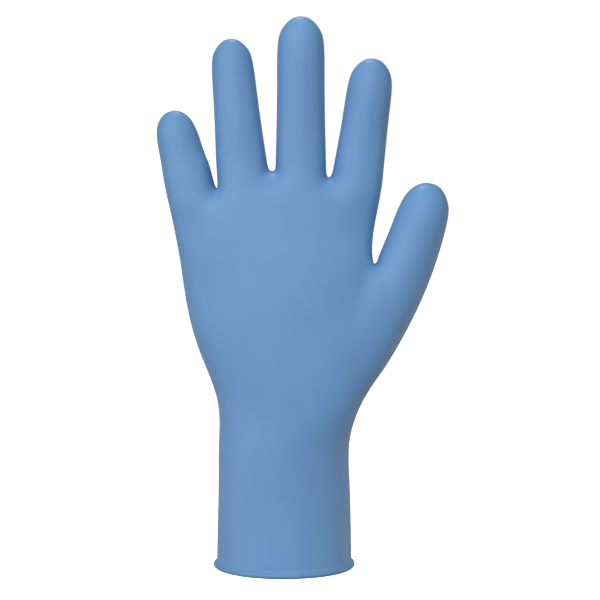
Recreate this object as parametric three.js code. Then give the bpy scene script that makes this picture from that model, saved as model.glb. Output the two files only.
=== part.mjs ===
// A nitrile examination glove with a long cuff, standing open as on a hand.
// The glove is one dipped film, so it is one closed solid: an outer skin, an inner skin one wall
// inside it, and a bead rolled from the film at the cuff.
//
// Millimetres. +Z runs from the cuff to the fingertips, +X to the thumb, and -Y faces the viewer.
// The origin is the centre of the cuff's opening, on the plane that the bead ends in.
// Front and back mirror each other, as on any glove that fits either hand.
import * as THREE from 'three';

// Driving dimensions.
const FILM_WALL = 1.0;
const BEAD_DIAMETER = 3.5;
const BEAD_STEP = 0.1; // how far the middle of the bead stands outside the film
const BEAD_HEIGHT_SHARE = 1.2; // where the film runs into the bead, in bead diameters

const CUFF_WIDTH = 69.2;
const CUFF_DEPTH = 52.5;
const WRIST_HEIGHT = 65;
const WRIST_WIDTH = 66.9;
const WRIST_DEPTH = 46.5;

const KNUCKLE_HEIGHT = 199.5; // the mean height of the finger webs above the cuff's edge
const KNUCKLE_WIDTH = 108.5;
const KNUCKLE_DEPTH = 26;
const KNUCKLE_OFFSET = -4.9; // the palm's middle lies this far from the cuff's, away from the thumb

const FINGER_LENGTH = 79.1; // the middle finger's, from the knuckle line to its tip

// The four finger stalls, from the little finger to the index finger. root is the width of the
// stall's root and lift its height above the knuckle line, as shares of the knuckles' width. tip is
// its width at the rounded end as a share of its root, reach its length as a share of the middle
// finger's, lean its turn towards the thumb, and full its share of the knuckles' depth.
const FINGERS = [
  { name: 'little', root: 0.221, tip: 0.875, reach: 0.508, lean: -14.2, lift: -0.051, full: 0.93 },
  { name: 'ring', root: 0.2325, tip: 0.83, reach: 0.881, lean: -5.2, lift: 0, full: 1 },
  { name: 'middle', root: 0.2305, tip: 0.94, reach: 1, lean: 0, lift: 0.014, full: 1 },
  { name: 'index', root: 0.2285, tip: 0.9, reach: 0.78, lean: 7.7, lift: -0.014, full: 0.94 },
];
// The webs between them: the gap that each spans and its height above the knuckle line, as shares
// of the knuckles' width.
const WEBS = [
  { gap: 0.0165, lift: -0.031 },
  { gap: 0.0385, lift: 0.037 },
  { gap: 0.0325, lift: 0.013 },
];
const FINGER_ROUNDNESS = 0.93; // a stall's depth as a share of its width
const TIP_LENGTH_SHARE = 0.66; // the rounded end's length as a share of the stall's width at the tip
const WEB_PINCH = 0.3; // how far each stall's edge leans into the gap at the web, as a share of it
const WEB_DROP = 6; // how far the web's front and back ends lie below its middle
const WEB_FULLNESS = 0.9; // how far out those ends lie, as a share of the stalls' faces beside them
const STALL_RISE = 8; // the first section of a stall above its web

const THUMB_LENGTH = 47.2; // from the thumb's web to its tip
const THUMB_WIDTH = 25.8;
const THUMB_DEPTH = 24.5;
const THUMB_LEAN = 16.9;
const THUMB_WEB_GAP = 2.2; // the width of the rounded web beside the thumb
const THUMB_SPREAD = 3.8; // how far its edges spread from the line of the thumb towards its root

// Sections of the cuff. rise is the share of the way from the bead to the wrist, flare the share of
// the way from the wrist's size to the cuff's.
const CUFF_SECTIONS = [
  { rise: 0, flare: 1 },
  { rise: 0.05, flare: 0.97 },
  { rise: 0.3, flare: 0.6 },
  { rise: 0.65, flare: 0.12 },
  { rise: 1, flare: 0 },
];

// Sections of the palm, from the heel of the hand up. rise is the share of the way from the wrist
// to the knuckles. left, right and thin are shares of the way from the wrist's edges and depth to
// the knuckles'. round is the same share as right for the edge that the section's front rounds off
// to, which is the thumb's own edge where the thumb grows out of the palm. powerLeft and
// powerRight round each side: 2 is an ellipse, and more is squarer.
const PALM_SECTIONS = [
  { rise: 0.158, left: 0.02, right: 0.39, round: 0.48, thin: 0.1, powerLeft: 2.1, powerRight: 2.5 },
  { rise: 0.33, left: 0.34, right: 0.27, round: 1.47, thin: 0.2, powerLeft: 2.2, powerRight: 2.4 },
  { rise: 0.5, left: 0.59, right: 0.436, round: 2.1, thin: 0.34, powerLeft: 2.4, powerRight: 2.1 },
  { rise: 0.683, left: 0.73, right: 0.752, round: 0.752, thin: 0.55, powerLeft: 2.6, powerRight: 3.2 },
  { rise: 0.766, left: 0.793, right: 0.717, round: 0.717, thin: 0.68, powerLeft: 2.8, powerRight: 2.7 },
  { rise: 0.868, left: 0.885, right: 0.844, round: 0.844, thin: 0.84, powerLeft: 3.0, powerRight: 2.9 },
];
// The thumb leaves the palm's edge between these two of them.
const THUMB_HEEL_INDEX = 0;
const THUMB_WEB_INDEX = 3;

// Sections of the thumb, from its root. inner is the share of its inner edge above the web, outer
// the share of its outer edge above the heel, deep its depth as a share of the thumb's, and square
// the power that rounds it.
const THUMB_SECTIONS = [
  { inner: 0.05, outer: 0.16, deep: 1.28, square: 2.5 },
  { inner: 0.14, outer: 0.33, deep: 1.18, square: 2.2 },
  { inner: 0.28, outer: 0.52, deep: 1.11, square: 2.1 },
  { inner: 0.46, outer: 0.7, deep: 1.06, square: 2 },
  { inner: 0.7, outer: 0.85, deep: 1.03, square: 2 },
  { inner: 1.0, outer: 1.0, deep: 1.0, square: 2 },
];

// Sections of a finger stall between its web and its rounded end: the share of that stretch, and
// the power that rounds the section.
const STALL_SECTIONS = [
  { along: 0, square: 2.6 },
  { along: 0.33, square: 2.15 },
  { along: 0.67, square: 2 },
  { along: 1, square: 2 },
];
// Sections of a rounded end, as angles round its quarter ellipse, and of the bead, as angles round
// its circle from the outer skin to the inner skin.
const TIP_ANGLES = [34, 64];
const BEAD_ANGLES = [62, 24, -14, -52, -90, -128, -166, -204];

// How often the cage is corrected so that the smooth skin passes through the sections' points.
const FIT_ROUNDS = 3;

const FILM_COLOUR = 0x6f9bd0;

const rad = THREE.MathUtils.degToRad;
const mix = THREE.MathUtils.lerp;

// The cage: a coarse mesh of quads whose smooth limit surface is the glove's outer skin.
// Its points are places on that surface, until drawThroughPoints turns them into control points.
const points = [];
const quads = [];

function addPoint(x, y, z) {
  points.push(new THREE.Vector3(x, y, z));
  return points.length - 1;
}

// Joins two rings of points, the first one below, with a band of quads. skip leaves some out.
function addBand(lower, upper, skip = () => false) {
  lower.forEach((_, i) => {
    const next = (i + 1) % lower.length;
    if (!skip(i)) quads.push([lower[i], lower[next], upper[next], upper[i]]);
  });
}

// The knuckle line: where each stall lies across the palm.
const knuckleShares = [...FINGERS.map((finger) => finger.root), ...WEBS.map((web) => web.gap)];
const knuckleUnit = KNUCKLE_WIDTH / knuckleShares.reduce((sum, share) => sum + share, 0);
const knuckleLeft = KNUCKLE_OFFSET - KNUCKLE_WIDTH / 2;
const knuckleRight = KNUCKLE_OFFSET + KNUCKLE_WIDTH / 2;
const roots = [];
let nextLeft = knuckleLeft;
FINGERS.forEach((finger, i) => {
  const width = finger.root * knuckleUnit;
  const right = nextLeft + width;
  const lift = finger.lift * KNUCKLE_WIDTH;
  roots.push({ left: nextLeft, centre: (nextLeft + right) / 2, right, width, lift });
  nextLeft = right + (WEBS[i] ? WEBS[i].gap * knuckleUnit : 0);
});

// Each ring of the cuff and palm has one point on either edge, and three in front of and behind
// each finger. From the left edge they run along the front to the right edge, and back behind.
const FRONT_COLUMNS = 3 * FINGERS.length;
const RIGHT_COLUMN = FRONT_COLUMNS + 1;
const RING_COLUMNS = 2 * RIGHT_COLUMN;
const CORNER = Math.SQRT1_2; // how far out of a round section's middle its corner points lie
const behind = (column) => (RING_COLUMNS - column) % RING_COLUMNS;

// Where the front columns lie across a section, from -1 at its left edge to 1 at its right, and
// how far the knuckle line lies above or below its mean height there, edges included.
const fingerColumns = roots.flatMap(({ centre, width }) => {
  const corner = (width / 2) * CORNER;
  return [centre - corner, centre, centre + corner];
});
const fingerSpread = fingerColumns.map((x) => (x - KNUCKLE_OFFSET) / (KNUCKLE_WIDTH / 2));
const evenSpread = fingerColumns.map((_, i) => -Math.cos((Math.PI * (i + 1)) / RIGHT_COLUMN));
const columnLifts = roots.flatMap(({ lift }) => [lift, lift, lift]);

// A ring across the cuff or palm: an oval, squarer on either side as its powers say. follow is 0
// for points spaced evenly round it, and 1 for points that line up with the fingers.
function addSection({ z, left, right, round, depth, powerLeft, powerRight, follow }) {
  const middle = (left + right) / 2;
  const half = (right - left) / 2;
  const lifts = columnLifts.map((lift) => lift * follow ** 3);
  const front = fingerSpread.map((spread, i) => {
    const x = middle + half * mix(evenSpread[i], spread, follow);
    const [edge, power] = x < middle ? [left, powerLeft] : [round, powerRight];
    const across = (x - middle) / (edge - middle);
    const out = (1 - across ** power) ** (1 / power);
    return { x, y: (-out * depth) / 2, z: z + lifts[i] };
  });
  return [
    addPoint(left, 0, z + lifts[0]),
    ...front.map(({ x, y, z: height }) => addPoint(x, y, height)),
    addPoint(right, 0, z + lifts.at(-1)),
    ...front.toReversed().map(({ x, y, z: height }) => addPoint(x, -y, height)),
  ];
}

function cuffRings() {
  return CUFF_SECTIONS.map(({ rise, flare }) => {
    const width = mix(WRIST_WIDTH, CUFF_WIDTH, flare);
    return addSection({
      z: mix(BEAD_HEIGHT_SHARE * BEAD_DIAMETER, WRIST_HEIGHT, rise),
      left: -width / 2,
      right: width / 2,
      round: width / 2,
      depth: mix(WRIST_DEPTH, CUFF_DEPTH, flare),
      powerLeft: 2,
      powerRight: 2,
      follow: 0,
    });
  });
}

function palmRings() {
  return PALM_SECTIONS.map((section) =>
    addSection({
      z: mix(WRIST_HEIGHT, KNUCKLE_HEIGHT, section.rise),
      left: mix(-WRIST_WIDTH / 2, knuckleLeft, section.left),
      right: mix(WRIST_WIDTH / 2, knuckleRight, section.right),
      round: mix(WRIST_WIDTH / 2, knuckleRight, section.round),
      depth: mix(WRIST_DEPTH, KNUCKLE_DEPTH, section.thin),
      powerLeft: section.powerLeft,
      powerRight: section.powerRight,
      follow: section.rise / PALM_SECTIONS.at(-1).rise,
    }),
  );
}

// The roots of the stalls: a ring of eight points each, from the left edge along the front.
// Neighbours are joined by their web, a strip of two quads that runs from front to back.
function fingerRootRings() {
  const heights = roots.map(({ lift }) => KNUCKLE_HEIGHT + lift);
  const webHeights = WEBS.map(({ lift }) => KNUCKLE_HEIGHT + lift * KNUCKLE_WIDTH);
  const rings = FINGERS.map((finger, i) => {
    const { left, centre, right, width } = roots[i];
    const leftHeight = webHeights[i - 1] ?? heights[i] - WEB_DROP / 2;
    const rightHeight = webHeights[i] ?? heights[i] - WEB_DROP / 2;
    const corner = (width / 2) * CORNER;
    const leftPinch = i > 0 ? WEBS[i - 1].gap * knuckleUnit * WEB_PINCH : 0;
    const rightPinch = i < WEBS.length ? WEBS[i].gap * knuckleUnit * WEB_PINCH : 0;
    const face = (KNUCKLE_DEPTH * finger.full) / 2;
    const leftOut = face * (i > 0 ? WEB_FULLNESS : CORNER);
    const rightOut = face * (i < WEBS.length ? WEB_FULLNESS : CORNER);
    return [
      addPoint(left - leftPinch, 0, leftHeight),
      addPoint(centre - corner, -leftOut, leftHeight - WEB_DROP),
      addPoint(centre, -face, heights[i] - WEB_DROP),
      addPoint(centre + corner, -rightOut, rightHeight - WEB_DROP),
      addPoint(right + rightPinch, 0, rightHeight),
      addPoint(centre + corner, rightOut, rightHeight - WEB_DROP),
      addPoint(centre, face, heights[i] - WEB_DROP),
      addPoint(centre - corner, leftOut, leftHeight - WEB_DROP),
    ];
  });
  WEBS.forEach((_, i) => {
    const [, , , frontLeft, middleLeft, backLeft] = rings[i];
    const [middleRight, frontRight] = rings[i + 1];
    const backRight = rings[i + 1].at(-1);
    quads.push([frontLeft, frontRight, middleRight, middleLeft]);
    quads.push([middleLeft, middleRight, backRight, backLeft]);
  });
  return rings;
}

// The palm's last ring is the outline that the four root rings share.
function knuckleRing(rings) {
  const front = rings.flatMap((ring) => ring.slice(1, 4));
  const back = rings.toReversed().flatMap((ring) => ring.slice(5, 8));
  return [rings[0][0], ...front, rings.at(-1)[4], ...back];
}

// A ring of points across a stall. across runs from its middle to its right or outer edge.
function addStallRing(count, middle, across, halfDepth, square = 2) {
  const rounded = (value) => Math.sign(value) * Math.abs(value) ** (2 / square);
  return Array.from({ length: count }, (_, i) => {
    const turn = (2 * Math.PI * i) / count;
    const along = -rounded(Math.cos(turn));
    return addPoint(
      middle.x + across.x * along,
      -rounded(Math.sin(turn)) * halfDepth,
      middle.z + across.z * along,
    );
  });
}

// Closes a stall with a half ellipsoid over its last ring.
function addTip(ring, middle, across, halfDepth, direction, length) {
  let last = ring;
  TIP_ANGLES.forEach((angle) => {
    const shrink = Math.cos(rad(angle));
    const centre = middle.clone().addScaledVector(direction, length * Math.sin(rad(angle)));
    const reach = across.clone().multiplyScalar(shrink);
    const next = addStallRing(ring.length, centre, reach, halfDepth * shrink);
    addBand(last, next);
    last = next;
  });
  const end = middle.clone().addScaledVector(direction, length);
  const apex = addPoint(end.x, end.y, end.z);
  for (let i = 0; i < last.length; i += 2) {
    quads.push([last[i], last[i + 1], last[(i + 2) % last.length], apex]);
  }
}

function addFinger(finger, i, rootRing) {
  const lean = rad(finger.lean);
  const direction = new THREE.Vector3(Math.sin(lean), 0, Math.cos(lean));
  const right = new THREE.Vector3(Math.cos(lean), 0, -Math.sin(lean));
  const root = new THREE.Vector3(roots[i].centre, 0, KNUCKLE_HEIGHT + roots[i].lift);
  const tipWidth = finger.tip * roots[i].width;
  const tipLength = tipWidth * TIP_LENGTH_SHARE;
  const shoulder = finger.reach * FINGER_LENGTH - tipLength;
  let last = rootRing;
  let middle;
  let across;
  let halfDepth;
  STALL_SECTIONS.forEach(({ along, square }) => {
    const width = mix(roots[i].width, tipWidth, along);
    middle = root.clone().addScaledVector(direction, mix(STALL_RISE, shoulder, along));
    across = right.clone().multiplyScalar(width / 2);
    halfDepth = (width * FINGER_ROUNDNESS) / 2;
    const ring = addStallRing(rootRing.length, middle, across, halfDepth, square);
    addBand(last, ring);
    last = ring;
  });
  addTip(last, middle, across, halfDepth, direction, tipLength);
}

// The thumb grows out of the hole that the palm's bands leave at its right edge. Its sections fan
// out from the web, between a straight inner edge and a curved outer edge.
function addThumb(palm) {
  const rows = palm.slice(THUMB_HEEL_INDEX, THUMB_WEB_INDEX + 1);
  const web = rows.at(-1)[RIGHT_COLUMN];
  const heel = rows[0][RIGHT_COLUMN];
  const front = rows.map((ring) => ring[RIGHT_COLUMN - 1]);
  const back = rows.map((ring) => ring[behind(RIGHT_COLUMN - 1)]);
  let last = [web, ...front.toReversed(), heel, ...back];

  const lean = rad(THUMB_LEAN);
  const direction = new THREE.Vector3(Math.sin(lean), 0, Math.cos(lean));
  const right = new THREE.Vector3(Math.cos(lean), 0, -Math.sin(lean));
  const tipLength = THUMB_WIDTH * TIP_LENGTH_SHARE;
  const innerShoulder = points[web].clone()
    .addScaledVector(direction, THUMB_LENGTH - tipLength)
    .addScaledVector(right, THUMB_SPREAD);
  const outerShoulder = innerShoulder.clone().addScaledVector(right, THUMB_WIDTH);
  const innerStart = points[web].clone().addScaledVector(right, THUMB_WEB_GAP / 2);
  const inner = new THREE.LineCurve3(innerStart, innerShoulder);
  const heelPoint = points[heel].clone();
  const bend = outerShoulder.clone()
    .addScaledVector(direction, -THUMB_LENGTH)
    .addScaledVector(right, THUMB_SPREAD);
  const outer = new THREE.QuadraticBezierCurve3(heelPoint, bend, outerShoulder);

  let middle;
  let across;
  let halfDepth;
  THUMB_SECTIONS.forEach((section) => {
    const innerPoint = inner.getPoint(section.inner);
    const outerPoint = outer.getPoint(section.outer);
    middle = innerPoint.clone().lerp(outerPoint, 0.5);
    across = outerPoint.clone().sub(innerPoint).multiplyScalar(0.5);
    halfDepth = (THUMB_DEPTH * section.deep) / 2;
    const ring = addStallRing(last.length, middle, across, halfDepth, section.square);
    addBand(last, ring);
    last = ring;
  });
  addTip(last, middle, across, halfDepth, direction, tipLength);
}

function buildCage() {
  const palm = palmRings();
  const fingerRoots = fingerRootRings();
  const rings = [...cuffRings(), ...palm, knuckleRing(fingerRoots)];
  const firstPalm = CUFF_SECTIONS.length;
  rings.slice(1).forEach((upper, i) => {
    const besideThumb = i >= firstPalm + THUMB_HEEL_INDEX && i < firstPalm + THUMB_WEB_INDEX;
    const inHole = (column) => column === RIGHT_COLUMN - 1 || column === RIGHT_COLUMN;
    addBand(rings[i], upper, (column) => besideThumb && inHole(column));
  });
  FINGERS.forEach((finger, i) => addFinger(finger, i, fingerRoots[i]));
  addThumb(palm);
  return rings[0];
}

// Links between the points of a mesh of quads, as Catmull-Clark subdivision needs them.
function meshLinks(faces, count) {
  const edges = new Map();
  const corners = Array.from({ length: count }, () => []);
  faces.forEach((face, f) => {
    face.forEach((a, i) => {
      const b = face[(i + 1) % 4];
      const key = a < b ? `${a},${b}` : `${b},${a}`;
      if (!edges.has(key)) edges.set(key, { a, b, faces: [] });
      edges.get(key).faces.push(f);
      corners[a].push({ across: face[(i + 2) % 4] });
    });
  });
  const ends = Array.from({ length: count }, () => []);
  const rimEnds = Array.from({ length: count }, () => []);
  edges.forEach(({ a, b, faces: sides }) => {
    ends[a].push(b);
    ends[b].push(a);
    if (sides.length === 1) {
      rimEnds[a].push(b);
      rimEnds[b].push(a);
    }
  });
  return { edges, corners, ends, rimEnds };
}

// Where subdivision would carry each point in the end.
function limitPoints(places, links) {
  return places.map((place, i) => {
    if (links.rimEnds[i].length) {
      return links.rimEnds[i]
        .reduce((sum, end) => sum.add(places[end]), place.clone().multiplyScalar(4))
        .divideScalar(6);
    }
    const n = links.ends[i].length;
    const sum = place.clone().multiplyScalar(n * n);
    links.ends[i].forEach((end) => sum.addScaledVector(places[end], 4));
    links.corners[i].forEach(({ across }) => sum.add(places[across]));
    return sum.divideScalar(n * (n + 5));
  });
}

// Moves the control points until the limit surface passes through the places that were asked for.
function drawThroughPoints(places, faces) {
  const used = new Set(faces.flat());
  const links = meshLinks(faces, places.length);
  const control = places.map((place) => place.clone());
  for (let round = 0; round < FIT_ROUNDS; round += 1) {
    const limit = limitPoints(control, links);
    control.forEach((point, i) => {
      if (used.has(i)) point.add(places[i]).sub(limit[i]);
    });
  }
  return control;
}

function middleOf(list) {
  return list.reduce((sum, place) => sum.add(place), new THREE.Vector3()).divideScalar(list.length);
}

// One step of Catmull-Clark subdivision: each quad becomes four.
function subdivide(places, faces) {
  const links = meshLinks(faces, places.length);
  const faceMiddles = faces.map((face) => middleOf(face.map((i) => places[i])));
  const around = Array.from({ length: places.length }, () => []);
  faces.forEach((face, f) => face.forEach((i) => around[i].push(faceMiddles[f])));

  const finer = places.map((place, i) => {
    if (links.rimEnds[i].length) {
      const sum = place.clone().multiplyScalar(6);
      links.rimEnds[i].forEach((end) => sum.add(places[end]));
      return sum.divideScalar(8);
    }
    const n = links.ends[i].length;
    if (!n) return place.clone();
    const edgeMiddles = links.ends[i].map((end) => places[end].clone().add(place).multiplyScalar(0.5));
    return place.clone().multiplyScalar(n - 3)
      .addScaledVector(middleOf(edgeMiddles), 2)
      .add(middleOf(around[i]))
      .divideScalar(n);
  });
  const faceIds = faceMiddles.map((middle) => finer.push(middle) - 1);
  const edgeIds = new Map();
  links.edges.forEach(({ a, b, faces: sides }, key) => {
    const ends = [places[a], places[b]];
    const list = sides.length === 2 ? [...ends, ...sides.map((f) => faceMiddles[f])] : ends;
    edgeIds.set(key, finer.push(middleOf(list)) - 1);
  });
  const edgeId = (a, b) => edgeIds.get(a < b ? `${a},${b}` : `${b},${a}`);
  const finerFaces = faces.flatMap((face, f) =>
    face.map((a, i) => [a, edgeId(a, face[(i + 1) % 4]), faceIds[f], edgeId(face[(i + 3) % 4], a)]),
  );
  return { places: finer, faces: finerFaces };
}

// The mean direction out of the mesh at each point.
function outwardNormals(places, faces) {
  const normals = places.map(() => new THREE.Vector3());
  faces.forEach((face) => {
    const [a, b, c, d] = face.map((i) => places[i]);
    const normal = c.clone().sub(a).cross(d.clone().sub(b));
    face.forEach((i) => normals[i].add(normal));
  });
  return normals.map((normal) => normal.normalize());
}

// The film: the outer skin, the inner skin one wall inside it, and the bead that joins their edges.
function makeFilm() {
  const cageRim = buildCage();
  const skin = subdivide(drawThroughPoints(points, quads), quads);
  const links = meshLinks(skin.faces, skin.places.length);
  const normals = outwardNormals(skin.places, skin.faces);

  // The skin's lower edge, in order round the cuff.
  const rim = cageRim.flatMap((point, i) => {
    const next = cageRim[(i + 1) % cageRim.length];
    const shared = links.rimEnds[point].find((end) => links.rimEnds[next].includes(end));
    return [point, shared];
  });
  rim.forEach((i) => normals[i].setZ(0).normalize());

  const vertices = skin.places.map((place) => place.clone());
  const inside = skin.places.map((place, i) =>
    vertices.push(place.clone().addScaledVector(normals[i], -FILM_WALL)) - 1,
  );
  const faces = [...skin.faces, ...skin.faces.map((face) => face.map((i) => inside[i]).toReversed())];

  // The bead's rings, from the outer skin out and round below to the inner skin.
  const radius = BEAD_DIAMETER / 2;
  let above = rim;
  BEAD_ANGLES.forEach((angle) => {
    const ring = rim.map((i) => {
      const outwards = BEAD_STEP + radius * Math.cos(rad(angle));
      const place = skin.places[i].clone().addScaledVector(normals[i], outwards);
      return vertices.push(place.setZ(radius + radius * Math.sin(rad(angle)))) - 1;
    });
    ring.forEach((_, i) => {
      const next = (i + 1) % ring.length;
      faces.push([above[i], ring[i], ring[next], above[next]]);
    });
    above = ring;
  });
  rim.forEach((i, j) => {
    const next = (j + 1) % rim.length;
    faces.push([above[j], inside[i], inside[rim[next]], above[next]]);
  });
  return { vertices, faces };
}

// Splits each quad along its longer diagonal.
function quadGeometry({ vertices, faces }) {
  const index = faces.flatMap(([a, b, c, d]) => {
    const first = vertices[a].distanceTo(vertices[c]) >= vertices[b].distanceTo(vertices[d]);
    return first ? [a, b, c, a, c, d] : [a, b, d, b, c, d];
  });
  const used = [...new Set(index)];
  const place = new Map(used.map((old, i) => [old, i]));
  const geometry = new THREE.BufferGeometry().setFromPoints(used.map((i) => vertices[i]));
  geometry.setIndex(index.map((i) => place.get(i)));
  geometry.computeVertexNormals();
  return geometry;
}

const nitrile = new THREE.MeshStandardMaterial({ color: FILM_COLOUR, roughness: 0.55, metalness: 0 });
const film = new THREE.Mesh(quadGeometry(makeFilm()), nitrile);
film.name = 'glove';

const glove = new THREE.Group();
glove.add(film);

export default glove;
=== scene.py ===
# Looks of the nitrile exam glove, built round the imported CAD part. Metres, in the part's own frame:
# +Z to the fingertips, +X to the thumb, -Y to the viewer.
import math

import bmesh
import bpy
import numpy as np
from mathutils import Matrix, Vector


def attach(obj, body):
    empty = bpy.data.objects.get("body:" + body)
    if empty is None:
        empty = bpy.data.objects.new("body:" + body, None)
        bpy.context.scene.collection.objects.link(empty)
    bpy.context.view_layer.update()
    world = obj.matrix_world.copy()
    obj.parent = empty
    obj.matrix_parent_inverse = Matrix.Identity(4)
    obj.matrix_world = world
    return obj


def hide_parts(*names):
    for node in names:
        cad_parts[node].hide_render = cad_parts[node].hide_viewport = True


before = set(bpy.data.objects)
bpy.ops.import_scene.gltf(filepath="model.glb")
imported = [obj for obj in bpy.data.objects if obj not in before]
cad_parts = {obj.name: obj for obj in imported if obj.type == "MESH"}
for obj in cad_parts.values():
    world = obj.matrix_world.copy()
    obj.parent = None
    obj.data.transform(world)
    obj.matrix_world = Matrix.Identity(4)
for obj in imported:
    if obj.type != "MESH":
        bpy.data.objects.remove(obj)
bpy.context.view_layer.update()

MM = 0.001
WHITE = (1, 1, 1)

# The CAD film's triangles join into quads whatever their angle, and those are smoothed this many times.
WELD_DISTANCE = 0.01 * MM
ANY_ANGLE = math.pi
SMOOTHING_LEVELS = 2

# The film's blue drifts between two neighbouring blues, over patches a few centimetres wide.
CLOUD_SCALE = 32.0
CLOUD_DETAIL = 2.5
CLOUD_ROUGHNESS = 0.45
FILM_BLUES = [
    {"position": 0.34, "colour": (0.112, 0.252, 0.489, 1)},
    {"position": 0.66, "colour": (0.12, 0.274, 0.51, 1)},
]

# The bead is many turns of film, so its blue is deeper: from the first height down to the second.
BEAD_TINT = (0.94, 0.92, 0.88, 1)
BEAD_TINT_STARTS = 4.2 * MM
BEAD_TINT_FULL = 2.6 * MM

# The satin: patches a little glossier than the rest, and a very fine grain from the former.
PATCH_SCALE = 90.0
PATCH_DETAIL = 3.0
PATCH_RANGE = (0.3, 0.7)
SATIN_ROUGHNESS = (0.5, 0.58)
GRAIN_SCALE = 1400.0
GRAIN_DETAIL = 2.0
GRAIN_STRENGTH = 0.12
GRAIN_DEPTH = 0.03 * MM
FILM_IOR = 1.5
FILM_SPECULAR = 0.3
COAT_WEIGHT = 0.12
COAT_ROUGHNESS = 0.16

# The photograph's camera: its angle to the glove, the point in the middle of the frame, and a lens
# found from the perspective of the cuff.
CAMERA_ELEVATION = 4.0
CAMERA_DISTANCE = 0.75
CAMERA_TARGET = Vector((0.0081, 0.0, 0.1375))
CAMERA_LENS = 88.5
CAMERA_SENSOR = 36.0
CAMERA_REACH = 100.0

# The glove is held up by its cuff, so the floor lies well below it. It is matt, and glows enough to be
# as white as what is behind it.
FLOOR_HEIGHT = -0.22
FLOOR_RADIUS = 30.0
FLOOR_COLOUR = (0.86, 0.86, 0.86, 1)
FLOOR_ROUGHNESS = 0.9
FLOOR_GLOW = 0.7

# The studio's soft boxes: degrees round from the viewer, to the thumb's side, degrees up, and strength.
# Each is full within its inner angle and fades out at its outer one.
SOFT_BOXES = [
    {"azimuth": -30, "elevation": 20, "strength": 1.35},
    {"azimuth": 0, "elevation": 20, "strength": 1.5},
    {"azimuth": -60, "elevation": 20, "strength": 1.0},
    {"azimuth": 60, "elevation": 20, "strength": 1.0},
    {"azimuth": -65, "elevation": -15, "strength": 0.8},
    {"azimuth": 55, "elevation": -15, "strength": 0.4},
    {"azimuth": 140, "elevation": -15, "strength": 0.6},
    {"azimuth": -150, "elevation": -15, "strength": 0.6},
    {"azimuth": -15, "elevation": 55, "strength": 0.5},
    {"azimuth": 0, "elevation": 90, "strength": 0.6},
]
BOX_INNER = 8.0
BOX_OUTER = 38.0

# The lamps: a key from the viewer's left, a small one over the fingertips for their glints, a broad one
# behind that leaves no reflection on the rims, and two warm ones low beside the cuff.
LAMPS = [
    {"name": "key", "place": (-0.35, -0.8, 0.6), "aim": (0.0, 0.0, 0.24), "size": 1.2, "power": 2.2},
    {"name": "tips", "place": (-0.02, 0.2, 0.7), "aim": (-0.01, 0.0, 0.26), "size": 0.22, "power": 0.7},
    {"name": "back", "place": (0.15, 0.9, 0.35), "aim": (0.0, 0.0, 0.14), "size": 1.0, "power": 6.5},
    {"name": "bounce", "place": (0.33, 0.1, -0.02), "aim": (0.03, 0.0, 0.06), "size": 0.3, "power": 0.2},
    {"name": "low_bounce", "place": (-0.33, 0.1, 0.0), "aim": (-0.03, 0.0, 0.06), "size": 0.3, "power": 0.1},
]
LAMP_COLOURS = {"bounce": (1.0, 0.72, 0.4), "low_bounce": (1.0, 0.6, 0.4)}
LAMPS_WITHOUT_GLOSS = ["back"]


def linked(name, data):
    """A new object in the scene."""
    item = bpy.data.objects.new(name, data)
    bpy.context.scene.collection.objects.link(item)
    return item


def quads_from(cad):
    """The CAD film as a mesh of quads: each pair of its triangles joins again."""
    mesh = cad.data.copy()
    bm = bmesh.new()
    bm.from_mesh(mesh)
    bmesh.ops.remove_doubles(bm, verts=bm.verts[:], dist=WELD_DISTANCE)
    bmesh.ops.join_triangles(
        bm,
        faces=bm.faces[:],
        angle_face_threshold=ANY_ANGLE,
        angle_shape_threshold=ANY_ANGLE,
    )
    bm.to_mesh(mesh)
    bm.free()
    mesh.materials.clear()
    return mesh


def subdivided(mesh, name, levels):
    """The mesh with its subdivision applied."""
    coarse = linked(name + "_coarse", mesh)
    surface = coarse.modifiers.new("surface", "SUBSURF")
    surface.levels = levels
    surface.render_levels = levels
    bpy.context.view_layer.update()
    graph = bpy.context.evaluated_depsgraph_get()
    fine = bpy.data.meshes.new_from_object(coarse.evaluated_get(graph))
    bpy.data.objects.remove(coarse)
    fine.name = name
    fine.polygons.foreach_set("use_smooth", np.ones(len(fine.polygons), bool))
    return linked(name, fine)


def new_material(name):
    """A new material and its shader."""
    material = bpy.data.materials.new(name)
    material.use_nodes = True
    return material, material.node_tree.nodes["Principled BSDF"]


def noise_pattern(tree, place, scale, detail):
    """A noise that is fixed to the object."""
    pattern = tree.nodes.new("ShaderNodeTexNoise")
    pattern.inputs["Scale"].default_value = scale
    pattern.inputs["Detail"].default_value = detail
    tree.links.new(place.outputs["Object"], pattern.inputs["Vector"])
    return pattern


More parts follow.
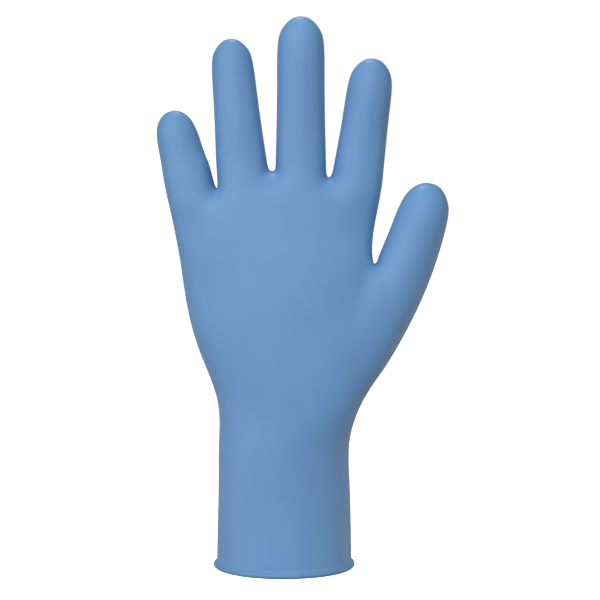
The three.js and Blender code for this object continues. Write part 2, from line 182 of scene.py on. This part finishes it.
def nitrile_material():
    """Blue satin film, a little cloudy, with a deeper blue on the bead."""
    material, shader = new_material("nitrile_film")
    tree = material.node_tree
    nodes, links = tree.nodes, tree.links
    place = nodes.new("ShaderNodeTexCoord")

    cloud = noise_pattern(tree, place, CLOUD_SCALE, CLOUD_DETAIL)
    cloud.inputs["Roughness"].default_value = CLOUD_ROUGHNESS
    tint = nodes.new("ShaderNodeValToRGB")
    for stop, blue in zip(tint.color_ramp.elements, FILM_BLUES):
        stop.position = blue["position"]
        stop.color = blue["colour"]
    links.new(cloud.outputs["Fac"], tint.inputs["Fac"])

    split = nodes.new("ShaderNodeSeparateXYZ")
    links.new(place.outputs["Object"], split.inputs["Vector"])
    bead = nodes.new("ShaderNodeMapRange")
    bead.interpolation_type = "SMOOTHSTEP"
    bead.inputs["From Min"].default_value = BEAD_TINT_STARTS
    bead.inputs["From Max"].default_value = BEAD_TINT_FULL
    links.new(split.outputs["Z"], bead.inputs["Value"])
    deeper = nodes.new("ShaderNodeMix")
    deeper.data_type = "RGBA"
    deeper.blend_type = "MULTIPLY"
    deeper.inputs["B"].default_value = BEAD_TINT
    links.new(bead.outputs["Result"], deeper.inputs["Factor"])
    links.new(tint.outputs["Color"], deeper.inputs["A"])
    links.new(deeper.outputs["Result"], shader.inputs["Base Color"])

    patch = noise_pattern(tree, place, PATCH_SCALE, PATCH_DETAIL)
    gloss = nodes.new("ShaderNodeMapRange")
    gloss.inputs["From Min"].default_value = PATCH_RANGE[0]
    gloss.inputs["From Max"].default_value = PATCH_RANGE[1]
    gloss.inputs["To Min"].default_value = SATIN_ROUGHNESS[0]
    gloss.inputs["To Max"].default_value = SATIN_ROUGHNESS[1]
    links.new(patch.outputs["Fac"], gloss.inputs["Value"])
    links.new(gloss.outputs["Result"], shader.inputs["Roughness"])

    grain = noise_pattern(tree, place, GRAIN_SCALE, GRAIN_DETAIL)
    relief = nodes.new("ShaderNodeBump")
    relief.inputs["Strength"].default_value = GRAIN_STRENGTH
    relief.inputs["Distance"].default_value = GRAIN_DEPTH
    links.new(grain.outputs["Fac"], relief.inputs["Height"])
    links.new(relief.outputs["Normal"], shader.inputs["Normal"])

    shader.inputs["IOR"].default_value = FILM_IOR
    shader.inputs["Coat Weight"].default_value = COAT_WEIGHT
    shader.inputs["Coat Roughness"].default_value = COAT_ROUGHNESS
    shader.inputs["Coat IOR"].default_value = FILM_IOR
    shader.inputs["Specular IOR Level"].default_value = FILM_SPECULAR
    return material


def floor_material():
    """Matt white with a glow."""
    material, shader = new_material("studio_floor")
    shader.inputs["Base Color"].default_value = FLOOR_COLOUR
    shader.inputs["Roughness"].default_value = FLOOR_ROUGHNESS
    shader.inputs["Specular IOR Level"].default_value = 0.0
    shader.inputs["Emission Color"].default_value = (*WHITE, 1)
    shader.inputs["Emission Strength"].default_value = FLOOR_GLOW
    return material


def studio_floor():
    """A wide square below the glove. It takes no light from the glove and gives it none."""
    corners = [(-1, -1), (1, -1), (1, 1), (-1, 1)]
    mesh = bpy.data.meshes.new("floor")
    mesh.from_pydata(
        [(x * FLOOR_RADIUS, y * FLOOR_RADIUS, FLOOR_HEIGHT) for x, y in corners], [], [(0, 1, 2, 3)]
    )
    mesh.materials.append(floor_material())
    floor = linked("floor", mesh)
    floor.visible_diffuse = False
    floor.visible_glossy = False
    floor.visible_shadow = False
    return floor


def direction(azimuth, elevation):
    """The direction of a light, from its angles in degrees."""
    around, up = math.radians(azimuth), math.radians(elevation)
    return Vector((math.sin(around) * math.cos(up), -math.cos(around) * math.cos(up), math.sin(up)))


def studio_world():
    """Soft boxes of light all round the glove; the camera itself sees plain white behind it."""
    world = bpy.data.worlds.new("studio")
    world.use_nodes = True
    nodes, links = world.node_tree.nodes, world.node_tree.links
    background = nodes["Background"]
    background.inputs["Color"].default_value = (*WHITE, 1)
    place = nodes.new("ShaderNodeTexCoord")
    path = nodes.new("ShaderNodeLightPath")
    level = path.outputs["Is Camera Ray"]
    for box in SOFT_BOXES:
        towards = nodes.new("ShaderNodeVectorMath")
        towards.operation = "DOT_PRODUCT"
        towards.inputs[1].default_value = direction(box["azimuth"], box["elevation"])
        links.new(place.outputs["Generated"], towards.inputs[0])
        lobe = nodes.new("ShaderNodeMapRange")
        lobe.interpolation_type = "SMOOTHSTEP"
        lobe.inputs["From Min"].default_value = math.cos(math.radians(BOX_OUTER))
        lobe.inputs["From Max"].default_value = math.cos(math.radians(BOX_INNER))
        lobe.inputs["To Min"].default_value = 0.0
        lobe.inputs["To Max"].default_value = box["strength"]
        links.new(towards.outputs["Value"], lobe.inputs["Value"])
        total = nodes.new("ShaderNodeMath")
        total.operation = "ADD"
        links.new(level, total.inputs[0])
        links.new(lobe.outputs["Result"], total.inputs[1])
        level = total.outputs["Value"]
    links.new(level, background.inputs["Strength"])
    bpy.context.scene.world = world


def studio_lamp(name, place, aim, size, power):
    """A round lamp that the camera doesn't see."""
    light = bpy.data.lights.new(name, "AREA")
    light.shape = "DISK"
    light.size = size
    light.energy = power
    light.color = LAMP_COLOURS.get(name, WHITE)
    lamp = linked(name, light)
    lamp.location = place
    lamp.rotation_euler = (Vector(aim) - Vector(place)).to_track_quat("-Z", "Y").to_euler()
    lamp.visible_camera = False
    lamp.visible_glossy = name not in LAMPS_WITHOUT_GLOSS


def studio_camera():
    """The photograph's camera."""
    camera = linked("camera", bpy.data.cameras.new("camera"))
    camera.data.sensor_width = CAMERA_SENSOR
    camera.data.lens = CAMERA_LENS
    camera.data.clip_end = CAMERA_REACH
    away = direction(0.0, CAMERA_ELEVATION)
    camera.location = CAMERA_TARGET + away * CAMERA_DISTANCE
    camera.rotation_euler = (-away).to_track_quat("-Z", "Y").to_euler()
    bpy.context.scene.camera = camera


film = subdivided(quads_from(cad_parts["glove"]), "glove_film", SMOOTHING_LEVELS)
film.data.materials.append(nitrile_material())
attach(film, "root")
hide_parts("glove")

studio_floor()
studio_world()
for lamp in LAMPS:
    studio_lamp(**lamp)
studio_camera()
bpy.context.scene.view_settings.view_transform = "Standard"
